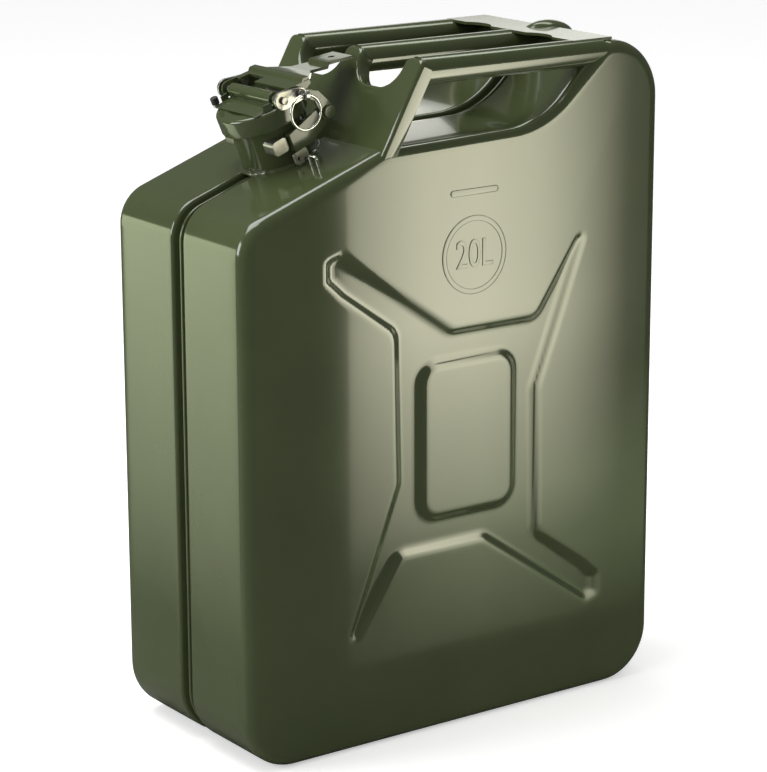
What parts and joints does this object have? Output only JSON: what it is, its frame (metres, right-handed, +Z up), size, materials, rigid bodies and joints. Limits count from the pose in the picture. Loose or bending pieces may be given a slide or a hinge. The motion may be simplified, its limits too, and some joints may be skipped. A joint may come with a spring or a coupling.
{
  "type": "jerry can",
  "caption": "Flat-sided welded steel fuel can with a row of tube handles, a leaning spout neck and a hinged lid held by a cam lever and a locking pin on a pull ring.",
  "frame": {"origin": "middle of the base, on the surface the can stands on", "axes": "+Z up; +X along the wide side from the spout to the rear; -Y towards the near big face"},
  "size_m": [0.345, 0.1576, 0.47],
  "materials": {
    "green_paint": "glossy olive green paint",
    "zinc": "zinc-plated steel",
    "rubber": "dark rubber",
    "bare_steel": "plain steel inside the tank"
  },
  "bodies": {
    "can": {"near_shell": "green_paint", "far_shell": "green_paint", "seam_flange": "green_paint", "neck_tube": "green_paint", "neck_rim": "green_paint", "neck_weld": "green_paint", "breather_tube": "bare_steel", "hinge_bracket": "zinc", "hinge_rivets": "zinc", "side_lugs": "zinc", "seal_plates": "zinc", "wire_staple": "green_paint", "handle_front_plate": "green_paint", "near_handle": "green_paint", "middle_handle": "green_paint", "far_handle": "green_paint", "handle_rear_plate": "green_paint", "seam_cover": "green_paint"},
    "lid": {"lid_cup": "green_paint", "gasket": "rubber", "gasket_plate": "zinc", "lid_saddle": "green_paint", "saddle_lugs": "green_paint", "pivot_pin": "zinc", "near_swing_arm": "zinc", "far_swing_arm": "zinc"},
    "lever": {"lever": "green_paint"},
    "locking_pin": {"locking_pin": "zinc"},
    "pull_ring": {"pull_ring": "zinc"}
  },
  "joints": [
    {"name": "lid_swing", "type": "hinge", "parent": "can", "child": "lid", "pos_m": [-0.07582, 0, 0.43025], "axis": [0, 1, 0], "range_deg": [0, 95]},
    {"name": "lever_lift", "type": "hinge", "parent": "lid", "child": "lever", "pos_m": [-0.11116, 0, 0.44056], "axis": [0, -1, 0], "range_deg": [0, 130]},
    {"name": "pin_pull", "type": "slide", "parent": "lid", "child": "locking_pin", "axis": [0, -1, 0], "range_m": [0, 0.03]},
    {"name": "ring_swing", "type": "hinge", "parent": "locking_pin", "child": "pull_ring", "pos_m": [-0.09745, -0.04065, 0.4441], "axis": [1, 0, 0], "range_deg": [-90, 5]}
  ],
  "couplings": [
    {"joint": "lever_lift", "follows": "lid_swing", "ratio": 1.3}
  ]
}
